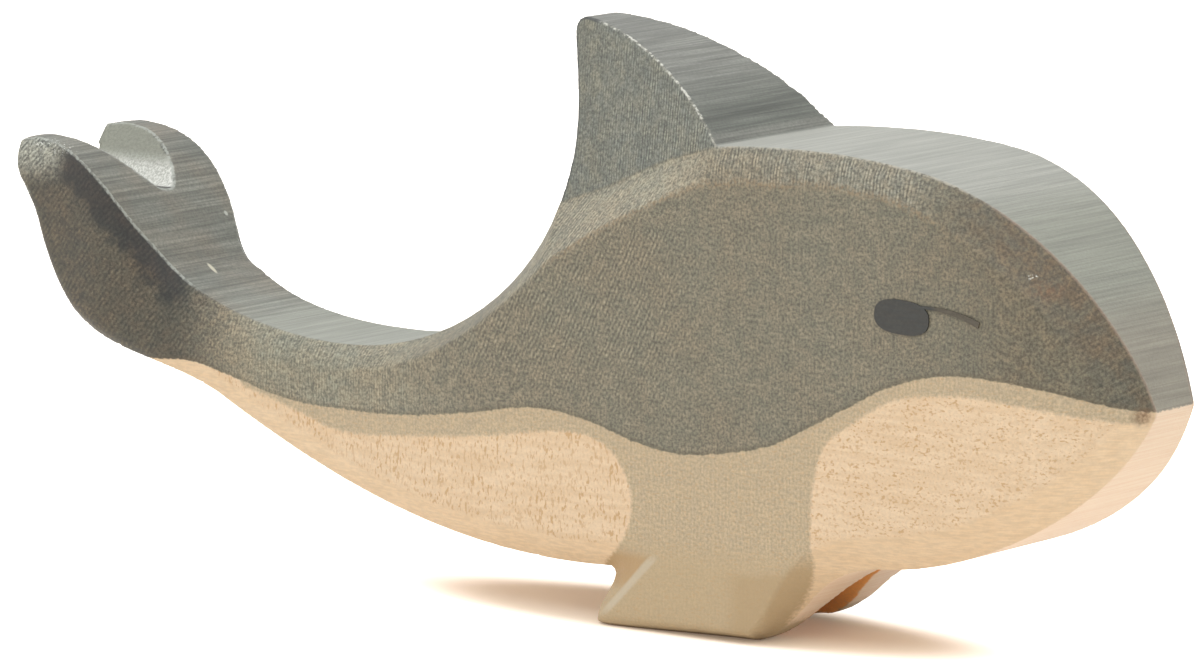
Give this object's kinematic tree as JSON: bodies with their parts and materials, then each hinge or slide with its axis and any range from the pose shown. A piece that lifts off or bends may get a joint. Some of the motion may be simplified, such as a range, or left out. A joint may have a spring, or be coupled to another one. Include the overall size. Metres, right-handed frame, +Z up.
{
  "type": "wooden whale figure",
  "caption": "Free-standing wooden whale figure sawn from a plank, with a back fin, notched tail flukes, side fins to stand on, a stained finish and painted eyes.",
  "frame": {"origin": "on the floor under the middle of the length, in the middle of the plank's thickness", "axes": "+X towards the nose, +Y across the plank to the whale's left, +Z up"},
  "size_m": [0.178, 0.0284, 0.0765],
  "materials": {
    "wood": "sanded hardwood, grey stain above, bare pale wood below, a brown wash along the line between them, light satin",
    "paint": "dark grey brushed paint, satin"
  },
  "bodies": {
    "root": {"body": "wood", "eye_left": "paint", "eye_right": "paint"}
  },
  "joints": []
}
